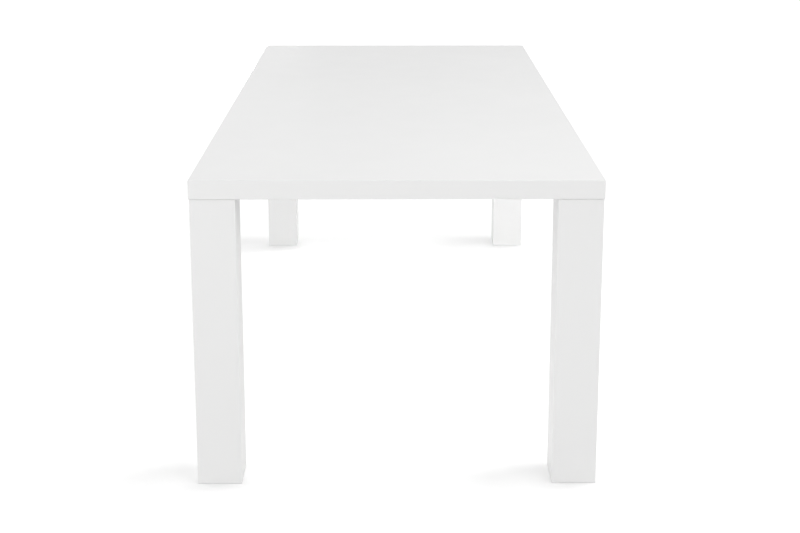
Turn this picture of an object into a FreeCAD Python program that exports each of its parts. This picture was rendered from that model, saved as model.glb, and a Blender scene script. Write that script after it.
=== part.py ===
import FreeCAD, Part
import math
import os

from FreeCAD import Vector

# White dining table: a hollow-core slab on four square box legs with levelling feet.
# Millimetres. X runs across the table, Y along it and Z up, from the floor under its middle.

# Overall sizes
TABLE_LENGTH = 2200.0
TABLE_WIDTH = 960.0
TABLE_HEIGHT = 750.0

# Slab: two face boards glued to a frame of rails
SLAB_THICKNESS = 45.0
TOP_SKIN_THICKNESS = 8.0
BOTTOM_SKIN_THICKNESS = 8.0
SLAB_EDGE_RADIUS = 1.5
RAIL_WIDTH = 40.0
CROSS_RAIL_WIDTH = 45.0

# Honeycomb paper that fills the bays between the rails
CELL_ACROSS_FLATS = 75.0
CELL_WALL = 2.0
SMALLEST_CELL_AREA = 150.0

# Box legs: four mitred boards with a block glued in at each end
LEG_WIDTH = 106.0
LEG_INSET = 2.0
LEG_PANEL_THICKNESS = 16.0
LEG_EDGE_RADIUS = 1.0
TOP_BLOCK_HEIGHT = 60.0
FOOT_BLOCK_HEIGHT = 60.0

# Steel plate on each leg, let into the slab but for the hairline gap that shows above the leg
PLATE_THICKNESS = 5.0
PLATE_SUNK = 4.5
PLATE_SETBACK = 12.0
PLATE_WING = 62.0
PLATE_CLIP = 40.0
PLATE_CORNER_RADIUS = 5.0
PLATE_RECESS_CLEARANCE = 0.5
CORNER_BLOCK_MARGIN = 10.0

# Countersunk screws from each plate down into its leg
SCREW_DIAMETER = 6.0
SCREW_HEAD_DIAMETER = 12.0
SCREW_LENGTH = 50.0
SCREW_TIP = 6.0
SCREW_SPACING = 50.0
SCREW_HEAD_SUNK = 0.3
SCREW_HEAD_RIM = 0.5
SCREW_FIT = 0.05
PLATE_HOLE_CLEARANCE = 0.25

# Bolts from each plate up into threaded sleeves in the slab
BOLT_DIAMETER = 8.0
BOLT_HEAD_DIAMETER = 14.0
BOLT_HEAD_HEIGHT = 4.4
BOLT_HEAD_ROUND = 3.0
BOLT_SOCKET_ACROSS_FLATS = 5.0
BOLT_SOCKET_DEPTH = 2.6
BOLT_HOLE_CLEARANCE = 0.5
BOLT_TIP_SETBACK = 2.0
BOLT_FROM_RAIL = 18.0
BOLT_FROM_LEG = 31.0
CORNER_BOLT_FROM_LEG = 22.0
WASHER_DIAMETER = 18.0
WASHER_THICKNESS = 1.6
INSERT_DIAMETER = 12.0
INSERT_LENGTH = 20.0
INSERT_END_ROOM = 2.0
SLEEVE_FIT = 0.05
THREAD_CLEARANCE = 0.05

# Levelling feet: a nylon base that slides out as its threaded stem is turned
FOOT_REVEAL = 0.5
FOOT_BASE_DIAMETER = 40.0
FOOT_BASE_DISC = 5.0
FOOT_BASE_EDGE_RADIUS = 1.0
FOOT_HUB_DIAMETER = 20.0
FOOT_HUB_HEIGHT = 4.5
FOOT_BASE_FLOOR = 2.5
FOOT_POCKET_CLEARANCE = 3.0
BUTTON_DIAMETER = 11.0
BUTTON_HEIGHT = 3.0
BUTTON_END_PLAY = 0.2
NECK_DIAMETER = 7.0
TURNING_CLEARANCE = 0.1
COLLAR_ACROSS_FLATS = 13.0
COLLAR_HEIGHT = 5.0
COLLAR_ABOVE_HUB = 0.3
STEM_DIAMETER = 8.0
STEM_THREAD_LENGTH = 43.0
STEM_END_CHAMFER = 1.0
STEM_BORE_CLEARANCE = 1.0
SLEEVE_DIAMETER = 12.0
SLEEVE_LENGTH = 18.0
SLEEVE_FLANGE_DIAMETER = 19.0
SLEEVE_FLANGE_THICKNESS = 1.5

# Levels that follow from the sizes above
SLAB_BOTTOM = TABLE_HEIGHT - SLAB_THICKNESS
CORE_BOTTOM = SLAB_BOTTOM + BOTTOM_SKIN_THICKNESS
CORE_TOP = TABLE_HEIGHT - TOP_SKIN_THICKNESS
CORE_HEIGHT = CORE_TOP - CORE_BOTTOM
PLATE_TOP = SLAB_BOTTOM + PLATE_SUNK
PLATE_BOTTOM = PLATE_TOP - PLATE_THICKNESS
LEG_TOP = PLATE_BOTTOM
LEG_BOTTOM = FOOT_REVEAL
LEG_CAVITY = LEG_WIDTH - 2 * LEG_PANEL_THICKNESS
COLLAR_BOTTOM = FOOT_BASE_DISC + FOOT_HUB_HEIGHT + COLLAR_ABOVE_HUB
COLLAR_TOP = COLLAR_BOTTOM + COLLAR_HEIGHT
POCKET_TOP = COLLAR_TOP + SLEEVE_FLANGE_THICKNESS

# Distances inward from a corner of the slab, the same along X and Y
LEG_CENTRE_IN = LEG_INSET + LEG_WIDTH / 2
LEG_END_IN = LEG_INSET + LEG_WIDTH
PLATE_START_IN = LEG_INSET + PLATE_SETBACK
PLATE_END_IN = LEG_END_IN + PLATE_WING
BLOCK_END_IN = PLATE_END_IN + CORNER_BLOCK_MARGIN
RAIL_BOLT_IN = RAIL_WIDTH + BOLT_FROM_RAIL
WING_BOLT_IN = LEG_END_IN + BOLT_FROM_LEG
CORNER_BOLT_IN = LEG_END_IN + CORNER_BOLT_FROM_LEG
BOLT_PLACES = [
    (WING_BOLT_IN, RAIL_BOLT_IN),
    (RAIL_BOLT_IN, WING_BOLT_IN),
    (CORNER_BOLT_IN, CORNER_BOLT_IN),
]

# Two levels or widths that differ by less than this count as the same
SAME = 1e-6

# Each corner's name with its side along X and its end along Y
CORNERS = {
    "front_left": (-1, -1),
    "front_right": (1, -1),
    "rear_left": (-1, 1),
    "rear_right": (1, 1),
}
UP = Vector(0, 0, 1)


def export(name, shape):
    shape.exportStep("parts/" + name + ".step")


def from_corner(side, end, in_x, in_y):
    """The plan point that lies in_x and in_y inward from one corner of the slab."""
    return Vector(side * (TABLE_WIDTH / 2 - in_x), end * (TABLE_LENGTH / 2 - in_y), 0)


def box_between(x0, x1, y0, y1, z0, z1):
    low = Vector(min(x0, x1), min(y0, y1), min(z0, z1))
    return Part.makeBox(abs(x1 - x0), abs(y1 - y0), abs(z1 - z0), low)


def centred_box(width_x, width_y, z0, z1):
    return box_between(-width_x / 2, width_x / 2, -width_y / 2, width_y / 2, z0, z1)


def cylinder(diameter, z0, z1):
    return Part.makeCylinder(diameter / 2, z1 - z0, Vector(0, 0, z0), UP)


def hexagon_wire(across_flats, centre):
    """A hexagon with two of its points along Y."""
    radius = across_flats / math.sqrt(3)
    points = []
    for step in range(7):
        angle = math.radians(30 + 60 * step)
        points.append(centre + Vector(radius * math.cos(angle), radius * math.sin(angle), 0))
    return Part.makePolygon(points)


def hexagon_prism(across_flats, z0, z1):
    wire = hexagon_wire(across_flats, Vector(0, 0, z0))
    return Part.Face(wire).extrude(UP * (z1 - z0))


def turned(profile):
    """The solid made by turning a closed outline of (radius, height) points about Z."""
    points = [Vector(radius, 0, height) for radius, height in profile]
    wire = Part.makePolygon(points + points[:1])
    return Part.Face(wire).revolve(Vector(0, 0, 0), UP, 360)


def circle_edges(shape, diameter, height):
    """The round edges of one diameter that lie at one height."""
    found = []
    for edge in shape.Edges:
        box = edge.BoundBox
        level = abs(box.ZMax - height) < SAME and abs(box.ZMin - height) < SAME
        if level and abs(box.XLength - diameter) < SAME:
            found.append(edge)
    return found


def upright_edges(shape):
    return [edge for edge in shape.Edges if edge.BoundBox.XLength + edge.BoundBox.YLength < SAME]


def copies_at(shape, places):
    """Separate copies of one fastener, moved to each place in plan."""
    return Part.makeCompound([shape.translated(place) for place in places])


def bolt_places():
    return [from_corner(*way, *place) for way in CORNERS.values() for place in BOLT_PLACES]


def leg_places():
    return [from_corner(*way, LEG_CENTRE_IN, LEG_CENTRE_IN) for way in CORNERS.values()]


def screw_places(leg_place):
    half = SCREW_SPACING / 2
    return [leg_place + Vector(x, y, 0) for x in (-half, half) for y in (-half, half)]


def plate_outline(side, end, grow):
    """A square over the leg and its two wings, with the inner corner cut off."""
    start = PLATE_START_IN - grow
    far = PLATE_END_IN + grow
    clipped = far - PLATE_CLIP
    plan = [(start, start), (far, start), (far, clipped), (clipped, far), (start, far)]
    points = [from_corner(side, end, *place) for place in plan]
    return Part.Face(Part.makePolygon(points + points[:1]))


def plate_block(side, end, grow, z0, z1):
    block = plate_outline(side, end, grow).translated(UP * z0).extrude(UP * (z1 - z0))
    return block.makeFillet(PLATE_CORNER_RADIUS + grow, upright_edges(block))


def screw(grow):
    """A countersunk wood screw, point down, with its head just below the plate's top face."""
    top = PLATE_TOP - SCREW_HEAD_SUNK
    tip = top - SCREW_LENGTH - grow
    head = SCREW_HEAD_DIAMETER / 2 + grow
    shank = SCREW_DIAMETER / 2 + grow
    rim = top - SCREW_HEAD_RIM
    return turned([
        (0, top + grow),
        (head, top + grow),
        (head, rim),
        (shank, rim - (head - shank)),
        (shank, tip + SCREW_TIP),
        (0, tip),
    ])


def bolt():
    """A button-head bolt, head down, that stops short of the end of its threaded sleeve."""
    seat = PLATE_BOTTOM - WASHER_THICKNESS
    low = seat - BOLT_HEAD_HEIGHT
    head = cylinder(BOLT_HEAD_DIAMETER, low, seat)
    head = head.makeFillet(BOLT_HEAD_ROUND, circle_edges(head, BOLT_HEAD_DIAMETER, low))
    socket = hexagon_prism(BOLT_SOCKET_ACROSS_FLATS, low, low + BOLT_SOCKET_DEPTH)
    shank = cylinder(BOLT_DIAMETER, seat, PLATE_TOP + INSERT_LENGTH - BOLT_TIP_SETBACK)
    return head.cut(socket).fuse(shank).removeSplitter()


def washer():
    z0 = PLATE_BOTTOM - WASHER_THICKNESS
    ring = cylinder(WASHER_DIAMETER, z0, PLATE_BOTTOM)
    return ring.cut(cylinder(BOLT_DIAMETER + 2 * BOLT_HOLE_CLEARANCE, z0, PLATE_BOTTOM))


def bolt_insert():
    z1 = PLATE_TOP + INSERT_LENGTH
    sleeve = cylinder(INSERT_DIAMETER, PLATE_TOP, z1)
    return sleeve.cut(cylinder(BOLT_DIAMETER + 2 * THREAD_CLEARANCE, PLATE_TOP, z1))


def foot_sleeve():
    """A flanged threaded sleeve let into the ceiling of the foot's pocket."""
    z1 = POCKET_TOP + SLEEVE_LENGTH
    flange = cylinder(SLEEVE_FLANGE_DIAMETER, COLLAR_TOP, POCKET_TOP)
    sleeve = flange.fuse(cylinder(SLEEVE_DIAMETER, POCKET_TOP, z1))
    return sleeve.cut(cylinder(STEM_DIAMETER + 2 * THREAD_CLEARANCE, COLLAR_TOP, z1))


def foot_base():
    """A nylon disc with a hub that holds the button end of the stem."""
    hub_top = FOOT_BASE_DISC + FOOT_HUB_HEIGHT
    seat_top = FOOT_BASE_FLOOR + BUTTON_HEIGHT + BUTTON_END_PLAY
    disc = cylinder(FOOT_BASE_DIAMETER, 0, FOOT_BASE_DISC)
    rims = circle_edges(disc, FOOT_BASE_DIAMETER, 0)
    rims += circle_edges(disc, FOOT_BASE_DIAMETER, FOOT_BASE_DISC)
    disc = disc.makeFillet(FOOT_BASE_EDGE_RADIUS, rims)
    base = disc.fuse(cylinder(FOOT_HUB_DIAMETER, FOOT_BASE_DISC, hub_top)).removeSplitter()
    base = base.cut(cylinder(BUTTON_DIAMETER + 2 * TURNING_CLEARANCE, FOOT_BASE_FLOOR, seat_top))
    return base.cut(cylinder(NECK_DIAMETER + 2 * TURNING_CLEARANCE, FOOT_BASE_FLOOR, hub_top))


def foot_stem():
    """A threaded stem with a button end, a neck and a hexagon collar for a spanner."""
    button_top = FOOT_BASE_FLOOR + BUTTON_HEIGHT
    stem_top = COLLAR_TOP + STEM_THREAD_LENGTH
    stem = cylinder(STEM_DIAMETER, COLLAR_TOP, stem_top)
    stem = stem.makeChamfer(STEM_END_CHAMFER, circle_edges(stem, STEM_DIAMETER, stem_top))
    stem = stem.fuse(hexagon_prism(COLLAR_ACROSS_FLATS, COLLAR_BOTTOM, COLLAR_TOP))
    stem = stem.fuse(cylinder(NECK_DIAMETER, button_top, COLLAR_BOTTOM))
    return stem.fuse(cylinder(BUTTON_DIAMETER, FOOT_BASE_FLOOR, button_top))


def whole_slab():
    slab = centred_box(TABLE_WIDTH, TABLE_LENGTH, SLAB_BOTTOM, TABLE_HEIGHT)
    return slab.makeFillet(SLAB_EDGE_RADIUS, slab.Edges)


def slab_skins(slab):
    """The two face boards: the lower one has a recess and bolt holes for each plate."""
    top = centred_box(TABLE_WIDTH, TABLE_LENGTH, CORE_TOP, TABLE_HEIGHT)
    export("top_skin", slab.common(top))
    bottom = slab.common(centred_box(TABLE_WIDTH, TABLE_LENGTH, SLAB_BOTTOM, CORE_BOTTOM))
    hole = cylinder(INSERT_DIAMETER + 2 * SLEEVE_FIT, PLATE_TOP, CORE_BOTTOM)
    cuts = [plate_block(*way, PLATE_RECESS_CLEARANCE, SLAB_BOTTOM, PLATE_TOP) for way in CORNERS.values()]
    cuts += [hole.translated(place) for place in bolt_places()]
    export("bottom_skin", bottom.cut(cuts))


def slab_rails(slab):
    """The frame round the slab's edge and the battens across it."""
    half_width = TABLE_WIDTH / 2
    half_length = TABLE_LENGTH / 2
    inner_x = half_width - RAIL_WIDTH
    inner_y = half_length - RAIL_WIDTH
    for name, side in (("left", -1), ("right", 1)):
        rail = box_between(
            side * inner_x, side * half_width, -half_length, half_length, CORE_BOTTOM, CORE_TOP
        )
        export("side_rail_" + name, slab.common(rail))
    for name, end in (("front", -1), ("rear", 1)):
        rail = box_between(-inner_x, inner_x, end * inner_y, end * half_length, CORE_BOTTOM, CORE_TOP)
        export("end_rail_" + name, rail)
    batten_y = half_length - BLOCK_END_IN - CROSS_RAIL_WIDTH / 2
    for name, y in (("front", -batten_y), ("middle", 0), ("rear", batten_y)):
        batten = centred_box(2 * inner_x, CROSS_RAIL_WIDTH, CORE_BOTTOM, CORE_TOP)
        export("cross_rail_" + name, batten.translated(Vector(0, y, 0)))


def corner_blocks():
    """Solid blocks in the slab's corners, each with blind holes for the bolt sleeves."""
    hole_top = PLATE_TOP + INSERT_LENGTH + INSERT_END_ROOM
    hole = cylinder(INSERT_DIAMETER + 2 * SLEEVE_FIT, CORE_BOTTOM, hole_top)
    for name, way in CORNERS.items():
        outer = from_corner(*way, RAIL_WIDTH, RAIL_WIDTH)
        inner = from_corner(*way, BLOCK_END_IN, BLOCK_END_IN)
        block = box_between(outer.x, inner.x, outer.y, inner.y, CORE_BOTTOM, CORE_TOP)
        holes = [hole.translated(from_corner(*way, *place)) for place in BOLT_PLACES]
        export("corner_block_" + name, block.cut(holes))


def honeycomb(size_x, size_y):
    """Paper cells cut off by a strip round the edge of one bay, which is centred on Z."""
    edge = Part.makePlane(size_x, size_y, Vector(-size_x / 2, -size_y / 2, 0)).OuterWire
    inner_x = size_x - 2 * CELL_WALL
    inner_y = size_y - 2 * CELL_WALL
    room = Part.makePlane(inner_x, inner_y, Vector(-inner_x / 2, -inner_y / 2, 0))
    row_pitch = CELL_ACROSS_FLATS * math.sqrt(3) / 2
    columns = math.ceil(size_x / CELL_ACROSS_FLATS / 2)
    rows = math.ceil(size_y / row_pitch / 2)
    wires = [edge]
    for row in range(-rows, rows + 1):
        for column in range(-columns, columns + 1):
            x = (column + (row % 2) / 2) * CELL_ACROSS_FLATS
            hexagon = hexagon_wire(CELL_ACROSS_FLATS - CELL_WALL, Vector(x, row * row_pitch, 0))
            cell = Part.Face(hexagon)
            if not room.BoundBox.isInside(hexagon.BoundBox):
                cell = cell.common(room)
            if cell.Area > SMALLEST_CELL_AREA:
                wires.append(cell.Faces[0].OuterWire)
    net = Part.makeFace(wires, "Part::FaceMakerBullseye")
    return net.translated(UP * CORE_BOTTOM).extrude(UP * CORE_HEIGHT)


def slab_cores():
    """One paper core for each bay: a long bay each side of the middle and a short one at each end."""
    half_length = TABLE_LENGTH / 2
    long_start = CROSS_RAIL_WIDTH / 2
    long_end = half_length - BLOCK_END_IN - CROSS_RAIL_WIDTH
    short_start = half_length - BLOCK_END_IN
    short_end = half_length - RAIL_WIDTH
    long_core = honeycomb(TABLE_WIDTH - 2 * RAIL_WIDTH, long_end - long_start)
    short_core = honeycomb(TABLE_WIDTH - 2 * BLOCK_END_IN, short_end - short_start)
    long_place = Vector(0, (long_start + long_end) / 2, 0)
    short_place = Vector(0, (short_start + short_end) / 2, 0)
    for name, end in (("front", -1), ("rear", 1)):
        export("core_" + name + "_main", long_core.translated(long_place * end))
        export("core_" + name + "_end", short_core.translated(short_place * end))


def leg_panels():
    """Four boards of one leg, split along the mitres at its corners."""
    leg = centred_box(LEG_WIDTH, LEG_WIDTH, LEG_BOTTOM, LEG_TOP)
    leg = leg.makeFillet(LEG_EDGE_RADIUS, leg.Edges)
    tube = leg.cut(centred_box(LEG_CAVITY, LEG_CAVITY, LEG_BOTTOM, LEG_TOP))
    reach = LEG_WIDTH
    corners = [Vector(-reach, -reach, LEG_BOTTOM), Vector(reach, -reach, LEG_BOTTOM)]
    middle = Vector(0, 0, LEG_BOTTOM)
    wedge = Part.Face(Part.makePolygon([middle] + corners + [middle]))
    wedge = wedge.extrude(UP * (LEG_TOP - LEG_BOTTOM))
    panels = {}
    for quarter, name in enumerate(("front", "right", "rear", "left")):
        panels[name] = tube.common(wedge.rotated(Vector(0, 0, 0), UP, 90 * quarter))
    return panels


def leg_top_block():
    block = centred_box(LEG_CAVITY, LEG_CAVITY, LEG_TOP - TOP_BLOCK_HEIGHT, LEG_TOP)
    pilot = screw(SCREW_FIT)
    return block.cut([pilot.translated(place) for place in screw_places(Vector(0, 0, 0))])


def leg_foot_block():
    """The block that the foot draws up into: a pocket, a seat for the sleeve and a stem bore."""
    sleeve_top = POCKET_TOP + SLEEVE_LENGTH
    block_top = LEG_BOTTOM + FOOT_BLOCK_HEIGHT
    block = centred_box(LEG_CAVITY, LEG_CAVITY, LEG_BOTTOM, block_top)
    pocket = cylinder(FOOT_BASE_DIAMETER + 2 * FOOT_POCKET_CLEARANCE, LEG_BOTTOM, POCKET_TOP)
    seat = cylinder(SLEEVE_DIAMETER + 2 * SLEEVE_FIT, POCKET_TOP, sleeve_top)
    bore = cylinder(STEM_DIAMETER + 2 * STEM_BORE_CLEARANCE, sleeve_top, block_top)
    return block.cut([pocket, seat, bore])


def mounting_plate(side, end):
    plate = plate_block(side, end, 0, PLATE_BOTTOM, PLATE_TOP)
    hole = cylinder(BOLT_DIAMETER + 2 * BOLT_HOLE_CLEARANCE, PLATE_BOTTOM, PLATE_TOP)
    sink = screw(PLATE_HOLE_CLEARANCE).fuse(
        cylinder(SCREW_HEAD_DIAMETER + 2 * PLATE_HOLE_CLEARANCE, PLATE_TOP - SCREW_HEAD_SUNK, PLATE_TOP)
    )
    leg_place = from_corner(side, end, LEG_CENTRE_IN, LEG_CENTRE_IN)
    cuts = [sink.translated(place) for place in screw_places(leg_place)]
    cuts += [hole.translated(from_corner(side, end, *place)) for place in BOLT_PLACES]
    return plate.cut(cuts)


def legs():
    """Each leg with its plate and its levelling foot."""
    panels = leg_panels()
    top_block = leg_top_block()
    foot_block = leg_foot_block()
    base = foot_base()
    stem = foot_stem()
    for name, way in CORNERS.items():
        place = from_corner(*way, LEG_CENTRE_IN, LEG_CENTRE_IN)
        for face, panel in panels.items():
            export("leg_" + name + "_panel_" + face, panel.translated(place))
        export("leg_" + name + "_top_block", top_block.translated(place))
        export("leg_" + name + "_foot_block", foot_block.translated(place))
        export("leg_" + name + "_plate", mounting_plate(*way))
        export("foot_" + name + "_base", base.translated(place))
        export("foot_" + name + "_stem", stem.translated(place))


def fasteners():
    """Each kind of screw, bolt, washer and sleeve as one group of separate pieces."""
    screws = []
    for place in leg_places():
        screws += screw_places(place)
    export("plate_screws", copies_at(screw(0), screws))
    export("leg_bolts", copies_at(bolt(), bolt_places()))
    export("leg_bolt_washers", copies_at(washer(), bolt_places()))
    export("bolt_inserts", copies_at(bolt_insert(), bolt_places()))
    export("foot_sleeves", copies_at(foot_sleeve(), leg_places()))


os.makedirs("parts", exist_ok=True)
slab = whole_slab()
slab_skins(slab)
slab_rails(slab)
corner_blocks()
slab_cores()
legs()
fasteners()
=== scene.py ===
import math

import bpy
from mathutils import Euler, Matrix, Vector


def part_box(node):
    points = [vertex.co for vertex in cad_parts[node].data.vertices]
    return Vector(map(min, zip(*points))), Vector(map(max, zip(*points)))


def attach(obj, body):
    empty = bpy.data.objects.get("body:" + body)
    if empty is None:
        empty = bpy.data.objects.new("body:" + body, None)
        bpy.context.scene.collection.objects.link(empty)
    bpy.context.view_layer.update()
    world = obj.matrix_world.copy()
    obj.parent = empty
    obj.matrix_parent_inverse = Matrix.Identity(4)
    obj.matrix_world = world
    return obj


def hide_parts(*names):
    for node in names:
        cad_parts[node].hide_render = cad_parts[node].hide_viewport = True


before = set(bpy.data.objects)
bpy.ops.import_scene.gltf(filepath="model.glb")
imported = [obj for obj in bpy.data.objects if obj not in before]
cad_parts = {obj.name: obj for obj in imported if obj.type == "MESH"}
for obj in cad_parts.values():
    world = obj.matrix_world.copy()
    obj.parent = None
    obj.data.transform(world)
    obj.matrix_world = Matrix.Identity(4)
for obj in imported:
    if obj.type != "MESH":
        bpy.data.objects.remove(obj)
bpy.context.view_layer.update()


# Honeycomb cores: kraft paper glued into open cells, cut to fill the bays of the slab.
# They are glued between the two face boards and are closed in for good.
MM = 0.001
KRAFT_DARK = (0.25, 0.165, 0.09)
KRAFT_LIGHT = (0.37, 0.255, 0.15)
KRAFT_ROUGHNESS = 0.9
FIBRE_STRETCH = (1.0, 1.0, 9.0)
FIBRE_HEIGHT = 0.15 * MM
PATTERN_LOW = 0.3
PATTERN_HIGH = 0.7


def new_finish(name):
    """A new material, with its nodes, its shader and the coordinates of the piece it is on."""
    material = bpy.data.materials.new(name)
    material.use_nodes = True
    tree = material.node_tree
    place = tree.nodes.new("ShaderNodeTexCoord").outputs["Object"]
    return material, tree, tree.nodes["Principled BSDF"], place


def stretched(tree, place, scale):
    """The coordinates scaled along X, Y and Z: what follows them is drawn out where the scale is small."""
    mapping = tree.nodes.new("ShaderNodeMapping")
    mapping.inputs["Scale"].default_value = scale
    tree.links.new(place, mapping.inputs["Vector"])
    return mapping.outputs["Vector"]


def noise(tree, place, per_metre, detail=2.0, roughness=0.5):
    """A random pattern from 0 to 1, with about so many spots in a metre."""
    node = tree.nodes.new("ShaderNodeTexNoise")
    node.inputs["Scale"].default_value = per_metre
    node.inputs["Detail"].default_value = detail
    node.inputs["Roughness"].default_value = roughness
    tree.links.new(place, node.inputs["Vector"])
    return node.outputs["Fac"]


def between(tree, pattern, low, high):
    """A number that runs from low to high as the middle part of a pattern rises."""
    node = tree.nodes.new("ShaderNodeMapRange")
    node.inputs["From Min"].default_value = PATTERN_LOW
    node.inputs["From Max"].default_value = PATTERN_HIGH
    node.inputs["To Min"].default_value = low
    node.inputs["To Max"].default_value = high
    tree.links.new(pattern, node.inputs["Value"])
    return node.outputs["Result"]


def tinted(tree, pattern, dark, light):
    """A colour that runs from dark to light as the middle part of a pattern rises."""
    node = tree.nodes.new("ShaderNodeValToRGB")
    node.color_ramp.elements[0].position = PATTERN_LOW
    node.color_ramp.elements[0].color = (*dark, 1.0)
    node.color_ramp.elements[1].position = PATTERN_HIGH
    node.color_ramp.elements[1].color = (*light, 1.0)
    tree.links.new(pattern, node.inputs["Fac"])
    return node.outputs["Color"]


def raise_surface(tree, shader, pattern, height, strength=1.0):
    """Lets a pattern stand out of the surface by so many metres."""
    node = tree.nodes.new("ShaderNodeBump")
    node.inputs["Distance"].default_value = height
    node.inputs["Strength"].default_value = strength
    tree.links.new(pattern, node.inputs["Height"])
    tree.links.new(node.outputs["Normal"], shader.inputs["Normal"])


def dress(material, *names):
    """Puts a finish on CAD pieces in place of their plain one."""
    for name in names:
        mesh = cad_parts[name].data
        mesh.materials.clear()
        mesh.materials.append(material)


kraft_paper, tree, shader, place = new_finish("kraft_paper")
fibres = noise(tree, stretched(tree, place, FIBRE_STRETCH), per_metre=260, detail=5, roughness=0.6)
tree.links.new(tinted(tree, fibres, KRAFT_DARK, KRAFT_LIGHT), shader.inputs["Base Color"])
shader.inputs["Roughness"].default_value = KRAFT_ROUGHNESS
raise_surface(tree, shader, fibres, FIBRE_HEIGHT)
dress(kraft_paper, "core_front_main", "core_front_end", "core_rear_main", "core_rear_end")


# Cross rails: planed softwood battens across the slab, which stiffen it and hold the corner blocks.
# They are glued in between the side rails, and to both face boards.
SOFTWOOD_DARK = (0.38, 0.22, 0.10)
SOFTWOOD_LIGHT = (0.62, 0.43, 0.23)
SOFTWOOD_ROUGHNESS = (0.55, 0.75)
GRAIN_STRETCH = (0.06, 1.0, 1.0)
GRAIN_BANDS = 38
GRAIN_WANDER = 7
GRAIN_DETAIL = 3
GRAIN_DETAIL_SCALE = 1.4
PORE_STRETCH = (0.05, 1.0, 1.0)
PORE_HEIGHT = 0.1 * MM
softwood, tree, shader, place = new_finish("planed_softwood")
grain = tree.nodes.new("ShaderNodeTexWave")
grain.bands_direction = "Z"
grain.inputs["Scale"].default_value = GRAIN_BANDS
grain.inputs["Distortion"].default_value = GRAIN_WANDER
grain.inputs["Detail"].default_value = GRAIN_DETAIL
grain.inputs["Detail Scale"].default_value = GRAIN_DETAIL_SCALE
tree.links.new(stretched(tree, place, GRAIN_STRETCH), grain.inputs["Vector"])
wood_colour = tinted(tree, grain.outputs["Fac"], SOFTWOOD_DARK, SOFTWOOD_LIGHT)
tree.links.new(wood_colour, shader.inputs["Base Color"])
pores = noise(tree, stretched(tree, place, PORE_STRETCH), per_metre=700, detail=3)
tree.links.new(between(tree, pores, *SOFTWOOD_ROUGHNESS), shader.inputs["Roughness"])
raise_surface(tree, shader, pores, PORE_HEIGHT)
dress(softwood, "cross_rail_front", "cross_rail_middle", "cross_rail_rear")


# Corner blocks and leg blocks: raw fibreboard, sawn to size and glued in.
# The corner blocks hold the bolt sleeves, and the leg blocks take the plate screws and the feet.
CORNERS = ("front_left", "front_right", "rear_left", "rear_right")
BOARD_DARK = (0.20, 0.125, 0.065)
BOARD_LIGHT = (0.42, 0.29, 0.17)
BOARD_ROUGHNESS = 0.85
CHIP_SHARE = 0.6
CLOUD_SHARE = 0.4
CHIP_HEIGHT = 0.2 * MM


def reckoned(tree, operation, first, second):
    """The sum, product or the like of two values, each a socket or a plain number."""
    node = tree.nodes.new("ShaderNodeMath")
    node.operation = operation
    for entry, value in zip(node.inputs, (first, second)):
        if isinstance(value, float):
            entry.default_value = value
        else:
            tree.links.new(value, entry)
    return node.outputs["Value"]


raw_board, tree, shader, place = new_finish("raw_fibreboard")
chips = noise(tree, place, per_metre=900, detail=4, roughness=0.65)
clouds = noise(tree, place, per_metre=45, detail=3)
chip_tone = reckoned(tree, "MULTIPLY", chips, CHIP_SHARE)
cloud_tone = reckoned(tree, "MULTIPLY", clouds, CLOUD_SHARE)
tone = reckoned(tree, "ADD", chip_tone, cloud_tone)
tree.links.new(tinted(tree, tone, BOARD_DARK, BOARD_LIGHT), shader.inputs["Base Color"])
shader.inputs["Roughness"].default_value = BOARD_ROUGHNESS
raise_surface(tree, shader, chips, CHIP_HEIGHT)
for corner in CORNERS:
    dress(raw_board, f"corner_block_{corner}", f"leg_{corner}_top_block", f"leg_{corner}_foot_block")


# Face boards and edge rails: fibreboard under one seamless coat of white satin lacquer.
# The slab is filled, sanded and sprayed as a whole, so that no joint shows at its edges.
LACQUER_DARK = (0.823, 0.823, 0.82)
LACQUER_LIGHT = (0.837, 0.837, 0.834)
LACQUER_ROUGHNESS = (0.36, 0.44)
LACQUER_IOR = 1.5
COAT_WEIGHT = 0.15
COAT_ROUGHNESS = 0.25
ORANGE_PEEL_HEIGHT = 0.03 * MM
ORANGE_PEEL_STRENGTH = 0.4


def satin_coat(tree, place):
    """The colour and the roughness of the lacquer, which drift a little over the surface."""
    colour = tinted(tree, noise(tree, place, per_metre=1.7), LACQUER_DARK, LACQUER_LIGHT)
    roughness = between(tree, noise(tree, place, per_metre=14, detail=3), *LACQUER_ROUGHNESS)
    return colour, roughness


def clear_coat(shader):
    """The thin gloss over the white pigment."""
    shader.inputs["IOR"].default_value = LACQUER_IOR
    shader.inputs["Coat Weight"].default_value = COAT_WEIGHT
    shader.inputs["Coat Roughness"].default_value = COAT_ROUGHNESS


lacquer, tree, shader, place = new_finish("white_satin_lacquer")
colour, roughness = satin_coat(tree, place)
tree.links.new(colour, shader.inputs["Base Color"])
tree.links.new(roughness, shader.inputs["Roughness"])
clear_coat(shader)
orange_peel = noise(tree, place, per_metre=240, detail=1)
raise_surface(tree, shader, orange_peel, ORANGE_PEEL_HEIGHT, ORANGE_PEEL_STRENGTH)
dress(lacquer, "top_skin", "side_rail_left", "side_rail_right", "end_rail_front", "end_rail_rear")


# Underside of the slab: the lower face board, whose edges are lacquered with the rest of the slab.
# Its underside has one thin coat of the same white, duller and rougher, because no one looks at it.
UNDER_DARK = (0.77, 0.768, 0.76)
UNDER_LIGHT = (0.83, 0.83, 0.825)
UNDER_ROUGHNESS = (0.5, 0.65)
UNDER_COAT_ENDS = (0.1 * MM, 0.6 * MM)
OVERSPRAY_HEIGHT = 0.2 * MM
OVERSPRAY_STRENGTH = 0.5


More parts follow.
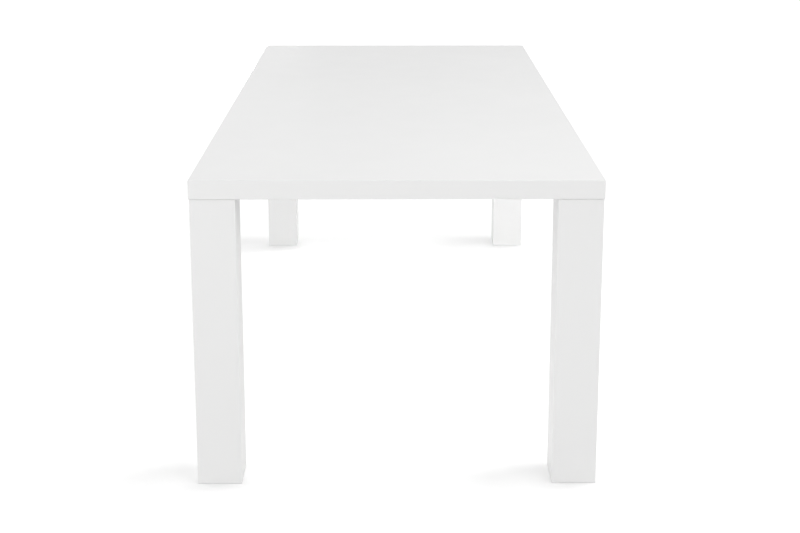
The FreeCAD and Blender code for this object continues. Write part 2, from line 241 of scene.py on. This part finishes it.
def blended(tree, share, first, second):
    """Goes from one value or colour to another as a share goes from 0 to 1."""
    node = tree.nodes.new("ShaderNodeMixRGB")
    tree.links.new(share, node.inputs["Fac"])
    tree.links.new(first, node.inputs["Color1"])
    tree.links.new(second, node.inputs["Color2"])
    return node.outputs["Color"]


def eased(tree, value, span, low, high):
    """A number that goes smoothly from low to high while a value crosses a span."""
    node = tree.nodes.new("ShaderNodeMapRange")
    node.interpolation_type = "SMOOTHSTEP"
    node.inputs["From Min"].default_value = span[0]
    node.inputs["From Max"].default_value = span[1]
    node.inputs["To Min"].default_value = low
    node.inputs["To Max"].default_value = high
    tree.links.new(value, node.inputs["Value"])
    return node.outputs["Result"]


under_coat, tree, shader, place = new_finish("white_under_coat")
axes = tree.nodes.new("ShaderNodeSeparateXYZ")
tree.links.new(place, axes.inputs["Vector"])
slab_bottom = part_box("bottom_skin")[0].z
below = eased(tree, axes.outputs["Z"], [slab_bottom + up for up in UNDER_COAT_ENDS], 1.0, 0.0)
colour, roughness = satin_coat(tree, place)
patches = noise(tree, place, per_metre=5, detail=4, roughness=0.6)
thin_colour = tinted(tree, patches, UNDER_DARK, UNDER_LIGHT)
tree.links.new(blended(tree, below, colour, thin_colour), shader.inputs["Base Color"])
overspray = noise(tree, place, per_metre=420, detail=3, roughness=0.6)
dull = between(tree, overspray, *UNDER_ROUGHNESS)
tree.links.new(blended(tree, below, roughness, dull), shader.inputs["Roughness"])
clear_coat(shader)
grit = reckoned(tree, "MULTIPLY", overspray, below)
raise_surface(tree, shader, grit, OVERSPRAY_HEIGHT, OVERSPRAY_STRENGTH)
dress(under_coat, "bottom_skin")


# Leg boards: four mitred fibreboards to each leg, glued round the blocks to a square tube.
# They are sprayed with the slab, in the same satin lacquer.
for corner in CORNERS:
    for side in ("front", "rear", "left", "right"):
        dress(lacquer, f"leg_{corner}_panel_{side}")


# Mounting plates: pressed steel with a grey powder coat, screwed to the top of each leg.
# Most of each plate's thickness is let into the slab, and the rest leaves a hairline above the leg.
POWDER_DARK = (0.24, 0.245, 0.25)
POWDER_LIGHT = (0.29, 0.295, 0.30)
POWDER_ROUGHNESS = (0.42, 0.55)
POWDER_HEIGHT = 0.08 * MM
powder_coat, tree, shader, place = new_finish("grey_powder_coat")
texture = noise(tree, place, per_metre=1500)
tree.links.new(tinted(tree, texture, POWDER_DARK, POWDER_LIGHT), shader.inputs["Base Color"])
powder_gloss = noise(tree, place, per_metre=60)
tree.links.new(between(tree, powder_gloss, *POWDER_ROUGHNESS), shader.inputs["Roughness"])
raise_surface(tree, shader, texture, POWDER_HEIGHT)
for corner in CORNERS:
    dress(powder_coat, f"leg_{corner}_plate")


# Fasteners: zinc-plated steel screws, bolts, washers and threaded sleeves.
# The bolts hold each plate to the slab, and the screws hold it to its leg.
ZINC_DARK = (0.50, 0.51, 0.53)
ZINC_LIGHT = (0.66, 0.67, 0.69)
ZINC_ROUGHNESS = (0.26, 0.42)
BLOOM_HEIGHT = 0.02 * MM
zinc, tree, shader, place = new_finish("zinc_plate")
bloom = noise(tree, place, per_metre=320, detail=4, roughness=0.6)
tree.links.new(tinted(tree, bloom, ZINC_DARK, ZINC_LIGHT), shader.inputs["Base Color"])
zinc_gloss = noise(tree, place, per_metre=900, detail=3)
tree.links.new(between(tree, zinc_gloss, *ZINC_ROUGHNESS), shader.inputs["Roughness"])
shader.inputs["Metallic"].default_value = 1.0
raise_surface(tree, shader, bloom, BLOOM_HEIGHT)
dress(zinc, "plate_screws", "leg_bolts", "leg_bolt_washers", "bolt_inserts", "foot_sleeves")


# Foot stems: zinc-plated steel rods with a rolled thread, a hexagon for the spanner and a button end.
# Each turns in the threaded sleeve of its leg, and its button is snapped into the nylon base below.
THREAD_PITCH = 1.25 * MM
THREAD_TOP_RADIUS = 4.0 * MM
THREAD_ROOT_RADIUS = 3.32 * MM
THREAD_FLANK = math.radians(30)
THREAD_CREST_SHARE = 0.35
THREAD_START = 14.4 * MM
THREAD_END = 57.8 * MM
THREAD_END_CHAMFER = 1.0 * MM
THREAD_STEPS = 24
SPARE_TURNS = 2
BLANK_STEPS = 52
COLLAR_SIDES = 6
COLLAR_ACROSS_FLATS = 13.0 * MM
COLLAR_LOW = 9.8 * MM
COLLAR_HIGH = 14.8 * MM
COLLAR_CHAMFER_RADIUS = 6.4 * MM
COLLAR_CHAMFER = 0.55 * MM
COLLAR_STEPS = 96
BUTTON_LOW = 2.5 * MM
BUTTON_HIGH = 5.5 * MM
BUTTON_RADIUS = 5.5 * MM
BUTTON_ROUND = 0.6 * MM
BUTTON_ROUND_MIDDLE = 0.2 * MM
BUTTON_STEPS = 48
NECK_RADIUS = 3.5 * MM
NECK_FILLET = 0.3 * MM
NECK_TOP = 10.2 * MM
CUTTING_ROOM = 0.1 * MM
STEM_CREASE = math.radians(28)
SAME_POINT = 2e-6
SEAM_SIDES = 6


def clear_selection():
    """Leaves edit mode, with nothing selected."""
    if bpy.context.object and bpy.context.object.mode != "OBJECT":
        bpy.ops.object.mode_set(mode="OBJECT")
    bpy.ops.object.select_all(action="DESELECT")


def select_only(piece):
    """Selects one piece, for the next operator to act on."""
    clear_selection()
    piece.select_set(True)
    bpy.context.view_layer.objects.active = piece


def draw_outline(name, points):
    """A new object in edit mode: one line drawn through (radius, height) points on the XZ plane."""
    clear_selection()
    bpy.ops.mesh.primitive_plane_add(size=MM, location=(0, 0, 0))
    line = bpy.context.object
    line.name = name
    bpy.ops.object.mode_set(mode="EDIT")
    bpy.ops.mesh.select_all(action="SELECT")
    bpy.ops.mesh.merge(type="CENTER")
    bpy.ops.transform.translate(value=(points[0][0], 0, points[0][1]))
    for before, after in zip(points, points[1:]):
        step = (after[0] - before[0], 0, after[1] - before[1])
        bpy.ops.mesh.extrude_region_move(TRANSFORM_OT_translate={"value": step})
    return line


def turn_outline(name, points, steps):
    """A closed solid, turned from an outline that starts and ends on the Z axis."""
    solid = draw_outline(name, points)
    bpy.ops.mesh.select_all(action="SELECT")
    bpy.ops.mesh.spin(steps=steps, angle=2 * math.pi, center=(0, 0, 0), axis=(0, 0, 1))
    bpy.ops.mesh.select_all(action="SELECT")
    bpy.ops.mesh.remove_doubles(threshold=SAME_POINT)
    bpy.ops.mesh.normals_make_consistent(inside=False)
    bpy.ops.object.mode_set(mode="OBJECT")
    return solid


def combine(piece, operation, other):
    """Joins, cuts or trims a piece by another one, which is used up, and closes the seam."""
    change = piece.modifiers.new("combine", "BOOLEAN")
    change.operation = operation
    change.solver = "EXACT"
    change.object = other
    select_only(piece)
    bpy.ops.object.modifier_apply(modifier="combine")
    bpy.ops.object.mode_set(mode="EDIT")
    bpy.ops.mesh.select_all(action="SELECT")
    bpy.ops.mesh.remove_doubles(threshold=SAME_POINT)
    bpy.ops.mesh.dissolve_degenerate(threshold=SAME_POINT)
    bpy.ops.mesh.fill_holes(sides=SEAM_SIDES)
    select_only(other)
    bpy.ops.object.delete()


def foot_centre(corner):
    """Where a foot's axis meets the floor."""
    low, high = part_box(f"foot_{corner}_stem")
    return ((low.x + high.x) / 2, (low.y + high.y) / 2, 0)


def fit_to_feet(master, crease, material, end):
    """Finishes a piece and puts a copy of it on each foot, in place of the CAD one."""
    select_only(master)
    bpy.ops.object.shade_smooth_by_angle(angle=crease)
    master.data.materials.clear()
    master.data.materials.append(material)
    name = master.name
    for corner in CORNERS:
        select_only(master)
        bpy.ops.object.duplicate(linked=False)
        piece = bpy.context.object
        piece.name = f"{name}_{corner}"
        piece.data.name = f"{name}_{corner}"
        bpy.ops.transform.translate(value=foot_centre(corner))
        bpy.ops.object.transform_apply(location=True, rotation=True, scale=True)
        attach(piece, f"foot_{corner}_{end}")
        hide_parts(f"foot_{corner}_{end}")
    select_only(master)
    bpy.ops.object.delete()


flank = (THREAD_TOP_RADIUS - THREAD_ROOT_RADIUS) * math.tan(THREAD_FLANK)
crest = (THREAD_PITCH - 2 * flank) * THREAD_CREST_SHARE
root = THREAD_PITCH - 2 * flank - crest
thread_low = THREAD_START - SPARE_TURNS * THREAD_PITCH
stem = draw_outline("threaded_stem", [
    (THREAD_ROOT_RADIUS, thread_low),
    (THREAD_ROOT_RADIUS, thread_low + root / 2),
    (THREAD_TOP_RADIUS, thread_low + root / 2 + flank),
    (THREAD_TOP_RADIUS, thread_low + root / 2 + flank + crest),
    (THREAD_ROOT_RADIUS, thread_low + THREAD_PITCH - root / 2),
    (THREAD_ROOT_RADIUS, thread_low + THREAD_PITCH),
])
bpy.ops.object.mode_set(mode="OBJECT")
winding = stem.modifiers.new("winding", "SCREW")
winding.axis = "Z"
winding.angle = 2 * math.pi
winding.screw_offset = THREAD_PITCH
winding.iterations = math.ceil((THREAD_END - THREAD_START) / THREAD_PITCH) + 2 * SPARE_TURNS
winding.steps = THREAD_STEPS
winding.render_steps = THREAD_STEPS
winding.use_merge_vertices = True
winding.merge_threshold = SAME_POINT
bpy.ops.object.modifier_apply(modifier="winding")
bpy.ops.object.mode_set(mode="EDIT")
bpy.ops.mesh.select_all(action="SELECT")
bpy.ops.mesh.remove_doubles(threshold=SAME_POINT)
for height, way in ((THREAD_START - THREAD_PITCH / 2, 1), (THREAD_END + THREAD_PITCH / 2, -1)):
    bpy.ops.mesh.select_all(action="SELECT")
    bpy.ops.mesh.bisect(plane_co=(0, 0, height), plane_no=(0, 0, way), clear_inner=True, use_fill=True)
bpy.ops.mesh.select_all(action="SELECT")
bpy.ops.mesh.normals_make_consistent(inside=False)
bpy.ops.object.mode_set(mode="OBJECT")
blank_radius = THREAD_TOP_RADIUS + CUTTING_ROOM
blank = turn_outline("stem_blank", [
    (0, THREAD_START),
    (blank_radius, THREAD_START),
    (blank_radius, THREAD_END - THREAD_END_CHAMFER),
    (blank_radius - THREAD_END_CHAMFER, THREAD_END),
    (0, THREAD_END),
], BLANK_STEPS)
combine(stem, "INTERSECT", blank)

collar_radius = COLLAR_ACROSS_FLATS / 2 / math.cos(math.pi / COLLAR_SIDES)
clear_selection()
bpy.ops.mesh.primitive_cylinder_add(
    vertices=COLLAR_SIDES, radius=collar_radius, depth=COLLAR_HIGH - COLLAR_LOW,
    location=(0, 0, (COLLAR_LOW + COLLAR_HIGH) / 2),
)
collar = bpy.context.object
bpy.ops.object.transform_apply(location=True, rotation=True, scale=True)
collar_reach = collar_radius + CUTTING_ROOM
chamfered = turn_outline("collar_blank", [
    (0, COLLAR_LOW),
    (COLLAR_CHAMFER_RADIUS, COLLAR_LOW),
    (collar_reach, COLLAR_LOW + COLLAR_CHAMFER),
    (collar_reach, COLLAR_HIGH - COLLAR_CHAMFER),
    (COLLAR_CHAMFER_RADIUS, COLLAR_HIGH),
    (0, COLLAR_HIGH),
], COLLAR_STEPS)
combine(collar, "INTERSECT", chamfered)
combine(stem, "UNION", collar)
button = turn_outline("button_end", [
    (0, BUTTON_LOW),
    (BUTTON_RADIUS - BUTTON_ROUND, BUTTON_LOW),
    (BUTTON_RADIUS - BUTTON_ROUND_MIDDLE, BUTTON_LOW + BUTTON_ROUND_MIDDLE),
    (BUTTON_RADIUS, BUTTON_LOW + BUTTON_ROUND),
    (BUTTON_RADIUS, BUTTON_HIGH - BUTTON_ROUND),
    (BUTTON_RADIUS - BUTTON_ROUND_MIDDLE, BUTTON_HIGH - BUTTON_ROUND_MIDDLE),
    (BUTTON_RADIUS - BUTTON_ROUND, BUTTON_HIGH),
    (NECK_RADIUS + NECK_FILLET, BUTTON_HIGH),
    (NECK_RADIUS, BUTTON_HIGH + NECK_FILLET),
    (NECK_RADIUS, NECK_TOP),
    (0, NECK_TOP),
], BUTTON_STEPS)
combine(stem, "UNION", button)
fit_to_feet(stem, STEM_CREASE, zinc, "stem")


# Foot bases: moulded nylon discs with a fluted rim for the fingers and rings that grip the floor.
# The slit hub springs over the button of the stem, so that the base can stand still while it turns.
NYLON_DARK = (0.70, 0.70, 0.685)
NYLON_LIGHT = (0.76, 0.76, 0.745)
NYLON_ROUGHNESS = (0.42, 0.55)
NYLON_TRANSLUCENCE = 0.1
NYLON_SCATTER = 2.0 * MM
NYLON_HEIGHT = 0.03 * MM
nylon, tree, shader, place = new_finish("pale_nylon")
cloud = noise(tree, place, per_metre=130)
tree.links.new(tinted(tree, cloud, NYLON_DARK, NYLON_LIGHT), shader.inputs["Base Color"])
nylon_gloss = noise(tree, place, per_metre=1200)
tree.links.new(between(tree, nylon_gloss, *NYLON_ROUGHNESS), shader.inputs["Roughness"])
shader.inputs["Subsurface Weight"].default_value = NYLON_TRANSLUCENCE
shader.inputs["Subsurface Scale"].default_value = NYLON_SCATTER
raise_surface(tree, shader, cloud, NYLON_HEIGHT)

BASE_RADIUS = 20.0 * MM
BASE_HEIGHT = 5.0 * MM
BASE_STEPS = 96
BASE_CREASE = math.radians(30)
RIM_ROUND = 1.0 * MM
RIM_STEPS = 4
GRIP_RINGS = (7.0 * MM, 10.5 * MM, 14.0 * MM)
GRIP_GROOVE = 0.7 * MM
GRIP_DEPTH = 0.5 * MM
HUB_RADIUS = 10.0 * MM
HUB_TOP = 9.5 * MM
HUB_FILLET = 1.0 * MM
HUB_FILLET_MIDDLE = 0.3 * MM
HUB_CHAMFER = 0.5 * MM
NECK_HOLE_RADIUS = 3.6 * MM
SEAT_RADIUS = 5.6 * MM
SEAT_TOP = 5.7 * MM
FLUTES = 24
FLUTE_RADIUS = 1.5 * MM
FLUTE_DEPTH = 0.5 * MM
FLUTE_SIDES = 20
SLIT_WIDTH = 1.2 * MM
SLIT_FLOOR = 6.2 * MM
SLIT_REACH = 1.2 * HUB_RADIUS


def rim_quarter(height, start):
    """A quarter of the rim's rounding, from an angle in degrees, about a centre at one height."""
    points = []
    for step in range(RIM_STEPS + 1):
        angle = math.radians(start + 90 * step / RIM_STEPS)
        out = BASE_RADIUS - RIM_ROUND + RIM_ROUND * math.cos(angle)
        points.append((out, height + RIM_ROUND * math.sin(angle)))
    return points


outline = [(0, 0)]
for ring in GRIP_RINGS:
    outline += [
        (ring - GRIP_GROOVE, 0),
        (ring - GRIP_GROOVE / 2, GRIP_DEPTH),
        (ring + GRIP_GROOVE / 2, GRIP_DEPTH),
        (ring + GRIP_GROOVE, 0),
    ]
outline += rim_quarter(RIM_ROUND, -90)
outline += rim_quarter(BASE_HEIGHT - RIM_ROUND, 0)
outline += [
    (HUB_RADIUS + HUB_FILLET, BASE_HEIGHT),
    (HUB_RADIUS + HUB_FILLET_MIDDLE, BASE_HEIGHT + HUB_FILLET_MIDDLE),
    (HUB_RADIUS, BASE_HEIGHT + HUB_FILLET),
    (HUB_RADIUS, HUB_TOP - HUB_CHAMFER),
    (HUB_RADIUS - HUB_CHAMFER, HUB_TOP),
    (NECK_HOLE_RADIUS + HUB_CHAMFER, HUB_TOP),
    (NECK_HOLE_RADIUS, HUB_TOP - HUB_CHAMFER),
    (NECK_HOLE_RADIUS, SEAT_TOP),
    (SEAT_RADIUS, SEAT_TOP),
    (SEAT_RADIUS, BUTTON_LOW),
    (0, BUTTON_LOW),
]
base = turn_outline("nylon_base", outline, BASE_STEPS)

clear_selection()
bpy.ops.mesh.primitive_cylinder_add(
    vertices=FLUTE_SIDES, radius=FLUTE_RADIUS, depth=2 * BASE_HEIGHT,
    location=(BASE_RADIUS + FLUTE_RADIUS - FLUTE_DEPTH, 0, BASE_HEIGHT / 2),
)
flutes = bpy.context.object
bpy.ops.object.transform_apply(location=True, rotation=True, scale=True)
bpy.ops.object.mode_set(mode="EDIT")
bpy.ops.mesh.select_all(action="SELECT")
flute_turn = 2 * math.pi * (FLUTES - 1) / FLUTES
bpy.ops.mesh.spin(steps=FLUTES - 1, dupli=True, angle=flute_turn, center=(0, 0, 0), axis=(0, 0, 1))
bpy.ops.object.mode_set(mode="OBJECT")
combine(base, "DIFFERENCE", flutes)

clear_selection()
bpy.ops.mesh.primitive_cube_add(size=SLIT_WIDTH, location=(0, 0, HUB_TOP))
slits = bpy.context.object
slits.scale.z = 2 * (HUB_TOP - SLIT_FLOOR) / SLIT_WIDTH
bpy.ops.object.transform_apply(location=True, rotation=True, scale=True)
bpy.ops.object.mode_set(mode="EDIT")
bpy.ops.mesh.select_mode(type="FACE")
bpy.ops.mesh.select_all(action="DESELECT")
bpy.ops.object.mode_set(mode="OBJECT")
for face in slits.data.polygons:
    face.select = abs(face.normal.z) < abs(face.normal.x) + abs(face.normal.y)
bpy.ops.object.mode_set(mode="EDIT")
bpy.ops.mesh.extrude_faces_move(TRANSFORM_OT_shrink_fatten={"value": SLIT_REACH})
bpy.ops.mesh.select_mode(type="VERT")
combine(base, "DIFFERENCE", slits)
fit_to_feet(base, BASE_CREASE, nylon, "base")


# Floor: a plain white studio floor that runs out to the horizon. It takes the lamps' shadows, but near the
# table they are painted over. It is matt paint, with a glow of its own where it is looked at. The glow is
# painted shade
# and light: it is least to the left of the legs and just in front of them, which paints their soft shadows
# and a contact shadow, and higher round about, which paints out the shadow of the slab. It rises away from
# the table, so that the floor meets the white of the room.
FLOOR_HALF = 60.0
FLOOR_PAINT = (0.8, 0.8, 0.8, 1.0)
# Painted shadows: the glow is lowest beside each leg, off to its left and a little forward of it.
GLOW_IN_PAINTED_SHADOW = 0.26
# Painted light: the raised glow round the legs, which whitens the floor where the slab's shadow falls.
GLOW_PAINTING_OUT_SHADE = 0.395
GLOW_FAR = 0.6
SHADOW_STRETCH = (0.6, 1.0, 1.0)
SHADOW_LEAN = (0.11, 0.04, 0.0)
SHADOW_ENDS = (0.05, 0.15)
# Painted contact shadow: the glow drops again just in front of each leg.
CONTACT_AHEAD = 12.0 * MM
CONTACT_ENDS = (0.0, 0.07)
PAINTED_CONTACT_SHADE = 0.14
FROM_MIDDLE = (1.6, 4.5)


def seen_background(tree):
    """1 for a ray that the camera, a gloss or a clear piece sends out, and 0 for light."""
    path = tree.nodes.new("ShaderNodeLightPath").outputs
    shiny = reckoned(tree, "MAXIMUM", path["Is Glossy Ray"], path["Is Transmission Ray"])
    return reckoned(tree, "MAXIMUM", path["Is Camera Ray"], shiny)


def reckoned_place(tree, operation, place, other=None):
    """A place moved or folded, or its distance, by an operation that may need another place."""
    node = tree.nodes.new("ShaderNodeVectorMath")
    node.operation = operation
    tree.links.new(place, node.inputs[0])
    if other is not None:
        node.inputs[1].default_value = other
    return node.outputs


def from_legs(tree, place, lean):
    """How far a place is from the nearest leg's painted shadow. The floor is folded, so that the legs are
    one.
    """
    leaning = reckoned_place(tree, "ADD", place, lean)["Vector"]
    folded = reckoned_place(tree, "ABSOLUTE", leaning)["Vector"]
    offset = reckoned_place(tree, "SUBTRACT", folded, foot_centre("rear_right"))["Vector"]
    return reckoned_place(tree, "LENGTH", stretched(tree, offset, SHADOW_STRETCH))["Value"]


clear_selection()
bpy.ops.mesh.primitive_plane_add(size=2 * FLOOR_HALF, location=(0, 0, 0))
floor = bpy.context.object
floor.name = "studio_floor"
floor_white = bpy.data.materials.new("studio_floor_white")
floor_white.use_nodes = True
tree = floor_white.node_tree
tree.nodes.clear()
place = tree.nodes.new("ShaderNodeTexCoord").outputs["Object"]
from_middle = reckoned_place(tree, "LENGTH", place)["Value"]
leg_low, leg_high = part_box("leg_front_left_panel_front")
contact_lean = (0.0, (leg_high.x - leg_low.x) / 2 + CONTACT_AHEAD, 0.0)
# The painted leg shadows, and round about them the glow that paints out the slab's shadow.
near = eased(tree, from_legs(tree, place, SHADOW_LEAN), SHADOW_ENDS, GLOW_IN_PAINTED_SHADOW, GLOW_PAINTING_OUT_SHADE)
# The painted contact shadow in front of each leg.
painted_contact_shadow = eased(tree, from_legs(tree, place, contact_lean), CONTACT_ENDS, PAINTED_CONTACT_SHADE, 0.0)
far = eased(tree, from_middle, FROM_MIDDLE, 0.0, GLOW_FAR - GLOW_PAINTING_OUT_SHADE)
whole_glow = reckoned(tree, "SUBTRACT", reckoned(tree, "ADD", near, far), painted_contact_shadow)
glow = tree.nodes.new("ShaderNodeEmission")
glow_strength = reckoned(tree, "MULTIPLY", whole_glow, seen_background(tree))
tree.links.new(glow_strength, glow.inputs["Strength"])
lit = tree.nodes.new("ShaderNodeBsdfDiffuse")
lit.inputs["Color"].default_value = FLOOR_PAINT
both = tree.nodes.new("ShaderNodeAddShader")
tree.links.new(lit.outputs["BSDF"], both.inputs[0])
tree.links.new(glow.outputs["Emission"], both.inputs[1])
surface = tree.nodes.new("ShaderNodeOutputMaterial")
tree.links.new(both.outputs["Shader"], surface.inputs["Surface"])
floor.data.materials.append(floor_white)


# Light: a white room with soft lamps round the table, none of which shows in the picture. A wide key lamp
# stands to the right, left out of the gloss so that the top doesn't clip, and a weaker one to the left.
# The others fill the two ends, and two small ones with grids, low at the right, reach the far legs.
WHITE = (1.0, 1.0, 1.0, 1.0)
ROOM_LIGHT = 0.62
ROOM_SEEN = 1.0
TABLE_MIDDLE = (0, 0, 0.5)


def soft_lamp(name, watts, size, at, aim, spread=180):
    """A square lamp of a size in metres, turned to a point, whose light spreads by so many degrees."""
    clear_selection()
    bpy.ops.object.light_add(type="AREA", location=at)
    lamp = bpy.context.object
    lamp.name = name
    lamp.data.shape = "SQUARE"
    lamp.data.size = size
    lamp.data.energy = watts
    lamp.data.spread = math.radians(spread)
    lamp.rotation_euler = (Vector(aim) - Vector(at)).to_track_quat("-Z", "Y").to_euler()
    lamp.visible_camera = False
    return lamp


room = bpy.data.worlds.new("white_room")
bpy.context.scene.world = room
room.use_nodes = True
tree = room.node_tree
background = tree.nodes["Background"]
background.inputs["Color"].default_value = WHITE
strength = tree.nodes.new("ShaderNodeMapRange")
strength.inputs["To Min"].default_value = ROOM_LIGHT
strength.inputs["To Max"].default_value = ROOM_SEEN
tree.links.new(seen_background(tree), strength.inputs["Value"])
tree.links.new(strength.outputs["Result"], background.inputs["Strength"])
key = soft_lamp("key_right", watts=76, size=3.0, at=(4.5, -0.5, 2.8), aim=TABLE_MIDDLE)
key.visible_glossy = False
soft_lamp("fill_left", watts=49, size=3.0, at=(-4.5, 0, 2.5), aim=TABLE_MIDDLE)
soft_lamp("fill_near_end", watts=71, size=1.6, at=(-3.0, -6.0, 0.9), aim=(0, 0, 0.4))
soft_lamp("near_top", watts=29, size=2.0, at=(1.5, -2.5, 3.5), aim=(0, -0.5, 0.5))
soft_lamp("fill_far_end", watts=43, size=0.8, at=(-1.0, 5.5, 0.45), aim=(0, 1.1, 0.4))
soft_lamp("grid_right", watts=0.50, size=0.5, at=(1.9, -0.55, 0.42), aim=(0.425, 0.99, 0.22), spread=35)
soft_lamp("grid_across", watts=0.27, size=0.5, at=(1.6, -1.6, 0.42), aim=(-0.425, 0.99, 0.2), spread=22)


# Camera: stands at one end of the table, at about eye height, with a long lens.
# The lens is shifted down a little, so that the legs lean in less than they would.
LENS = 65.88
SENSOR_WIDTH = 36.0
SHIFT_UP = -0.12
CAMERA_PLACE = (-0.0105, -4.3622, 1.5224)
LOOK_DOWN = math.radians(12.934)
LOOK_RIGHT = math.radians(0.314)
bpy.ops.object.camera_add(location=CAMERA_PLACE)
camera = bpy.context.object
camera.name = "photo_camera"
camera.rotation_euler = Euler((math.radians(90) - LOOK_DOWN, 0, -LOOK_RIGHT))
camera.data.sensor_width = SENSOR_WIDTH
camera.data.lens = LENS
camera.data.shift_y = SHIFT_UP
bpy.context.scene.camera = camera
bpy.context.scene.view_settings.view_transform = "Standard"
